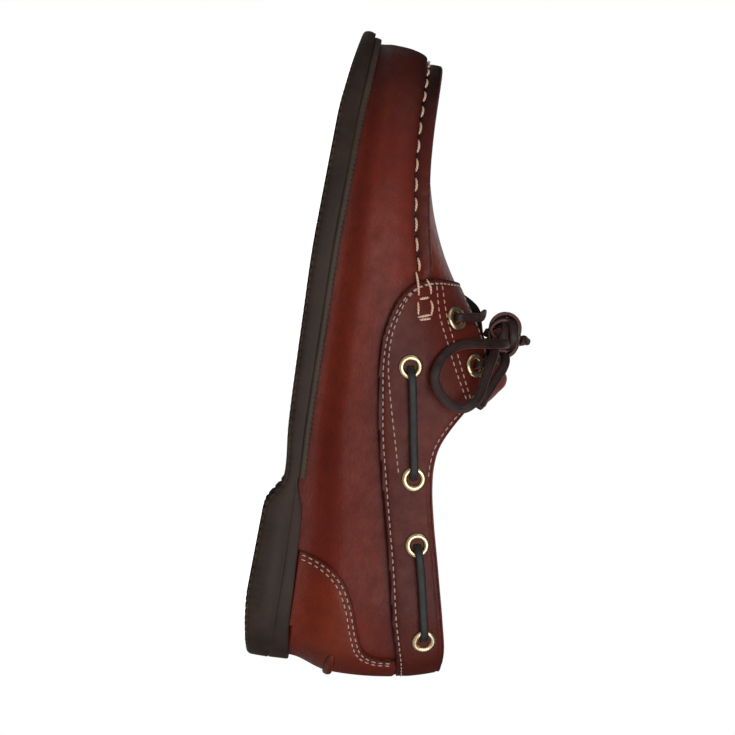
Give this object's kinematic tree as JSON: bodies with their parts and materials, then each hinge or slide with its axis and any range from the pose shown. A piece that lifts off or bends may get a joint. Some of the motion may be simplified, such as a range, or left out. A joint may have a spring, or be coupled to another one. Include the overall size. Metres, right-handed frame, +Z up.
{
  "type": "boat shoe",
  "caption": "Low leather boat shoe with a stitched apron toe, saddle with collar lace through brass eyelets, tied bow and rubber sole.",
  "frame": {"origin": "on the floor, below the middle of the shoe's box without its bow", "axes": "+X towards the toe, +Y towards the outer side, +Z up"},
  "size_m": [0.3006, 0.103, 0.109],
  "materials": {
    "upper_leather": "oxblood pull-up leather, semi-gloss, fine grain",
    "saddle_leather": "darker oxblood leather with a raw brown cut edge",
    "tongue_leather": "soft dark leather, satin",
    "lining": "dark smooth lining, matte",
    "outsole_rubber": "dark brown moulded rubber, satin, siped tread",
    "eyelet_brass": "bright rolled brass",
    "rawhide_lace": "dark oiled rawhide strip, matte edges"
  },
  "bodies": {
    "root": {"outsole": "outsole_rubber", "welt": "outsole_rubber", "insole": "lining", "upper": "upper_leather", "saddle": "saddle_leather", "heel_counter": "upper_leather", "heel_ridge": "upper_leather", "tongue": "tongue_leather", "eyelet_outer_a": "eyelet_brass", "eyelet_outer_b": "eyelet_brass", "eyelet_outer_c": "eyelet_brass", "eyelet_outer_d": "eyelet_brass", "eyelet_outer_e": "eyelet_brass", "eyelet_outer_f": "eyelet_brass", "eyelet_inner_a": "eyelet_brass", "eyelet_inner_b": "eyelet_brass", "eyelet_inner_c": "eyelet_brass", "eyelet_inner_d": "eyelet_brass", "eyelet_inner_e": "eyelet_brass", "eyelet_inner_f": "eyelet_brass", "lace_outer_front": "rawhide_lace", "lace_outer_back": "rawhide_lace", "lace_outer_lead": "rawhide_lace", "lace_inner_front": "rawhide_lace", "lace_inner_back": "rawhide_lace", "lace_inner_lead": "rawhide_lace", "lace_crossing": "rawhide_lace", "bow_knot": "rawhide_lace", "bow_loop_outer": "rawhide_lace", "bow_loop_inner": "rawhide_lace", "lace_end_outer": "rawhide_lace", "lace_end_inner": "rawhide_lace"}
  },
  "joints": []
}
